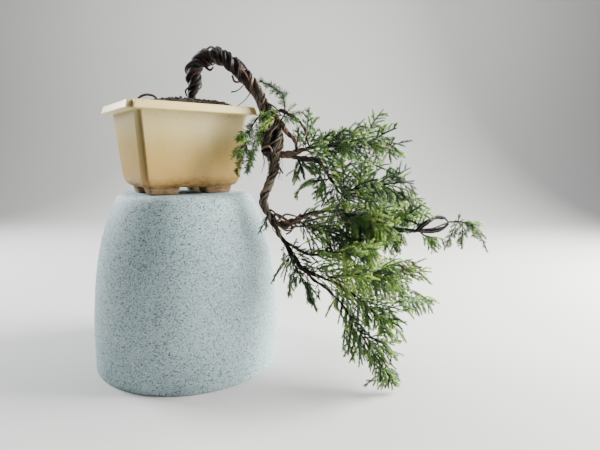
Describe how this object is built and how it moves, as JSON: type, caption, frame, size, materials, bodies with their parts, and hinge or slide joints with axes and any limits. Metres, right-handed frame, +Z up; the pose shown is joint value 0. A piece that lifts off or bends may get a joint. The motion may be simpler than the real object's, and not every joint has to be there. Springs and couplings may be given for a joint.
{
  "type": "chinese juniper bonsai",
  "caption": "Cascade-style juniper bonsai: a twisted trunk arches out of a rectangular pot and hangs in feathery tiers of needles beside the upturned round planter it stands on.",
  "frame": {"origin": "middle of the whole part's box in plan, on the level surface the stand rests on", "axes": "+X along the length of the part, from the pot towards the furthest hanging tip; +Y away from the viewer of the picture; +Z up"},
  "size_m": [0.4894, 0.229, 0.382],
  "materials": {
    "stand_finish": "matte, pale blue-grey with fine dark speckle",
    "pot_glaze": "satin, cream above to ochre below",
    "soil": "matte, dark damp crumbs",
    "bark": "rough, twisted fibrous bark",
    "foliage": "satin needles, dark inside and bright yellow-green at the tips"
  },
  "bodies": {
    "root": {"stand": "stand_finish", "pot": "pot_glaze", "soil": "soil", "trunk": "bark", "bough_upper": "bark", "bough_second": "bark", "bough_slim_front": "bark", "bough_slim_back": "bark", "bough_middle": "bark", "bough_wired": "bark", "bough_wired_loop": "bark", "bough_low_twig": "bark", "bough_lowest": "bark", "foliage_upper": "foliage", "foliage_second": "foliage", "foliage_middle": "foliage", "foliage_middle_under": "foliage", "foliage_second_left": "foliage", "foliage_tip": "foliage", "foliage_wired_under": "foliage", "foliage_low_upper": "foliage", "foliage_low_left": "foliage", "foliage_low_right": "foliage", "foliage_low_centre": "foliage", "foliage_lowest": "foliage", "foliage_knot": "foliage", "foliage_pot_side": "foliage", "foliage_under_knot": "foliage", "foliage_stand_side": "foliage"}
  },
  "joints": []
}
